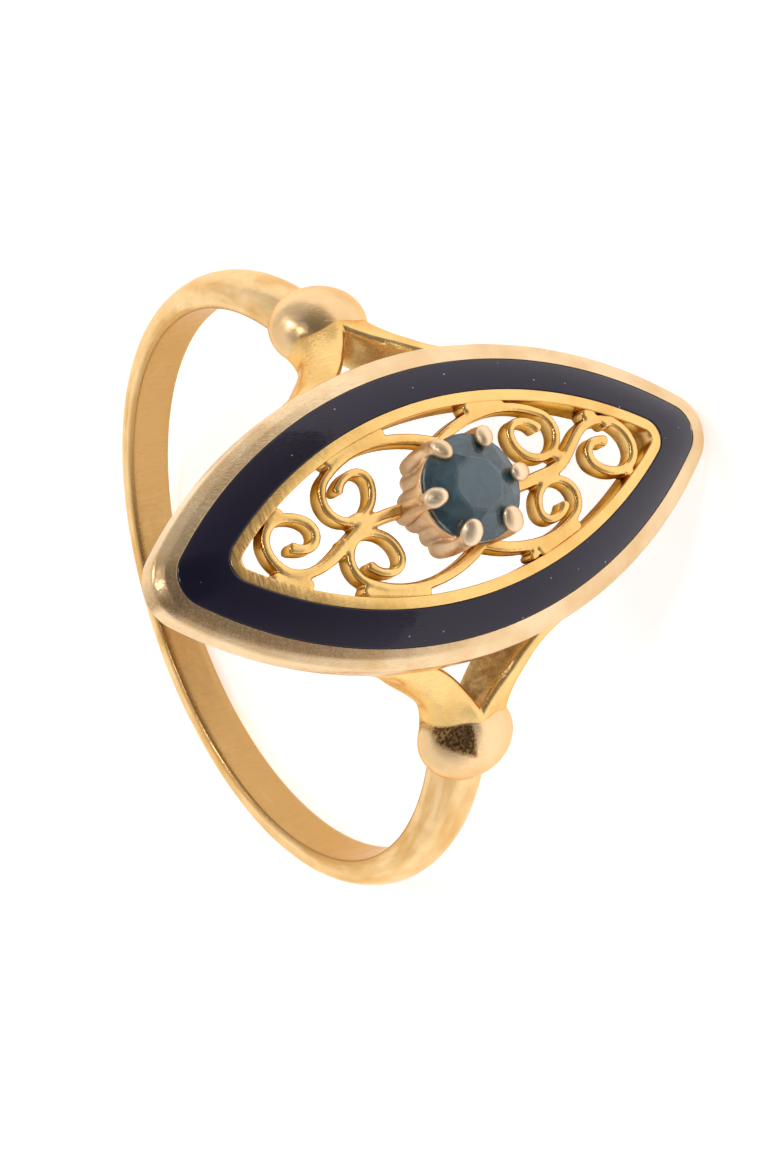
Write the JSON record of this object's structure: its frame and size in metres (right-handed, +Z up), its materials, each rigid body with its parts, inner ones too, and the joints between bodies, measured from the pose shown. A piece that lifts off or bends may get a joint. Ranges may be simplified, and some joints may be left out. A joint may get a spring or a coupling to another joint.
{
  "type": "navette ring with enamel border and sapphire",
  "caption": "Gold finger ring whose boat-shaped head has a dark blue enamel border round pierced scrollwork and a round faceted stone in a coronet of claws.",
  "frame": {"origin": "on the surface that the ring lies on, under the middle of its box", "axes": "+Z up from the surface, X across the width of the finger hoop, +Y from the head towards the back of the hoop"},
  "size_m": [0.0192, 0.0218, 0.0171],
  "materials": {
    "gold": "worn satin polish on yellow gold",
    "enamel": "opaque glossy dark blue enamel",
    "sapphire": "polished facets, dark teal blue"
  },
  "bodies": {
    "root": {"gold_mount": "gold", "enamel_border": "enamel", "sapphire": "sapphire"}
  },
  "joints": []
}
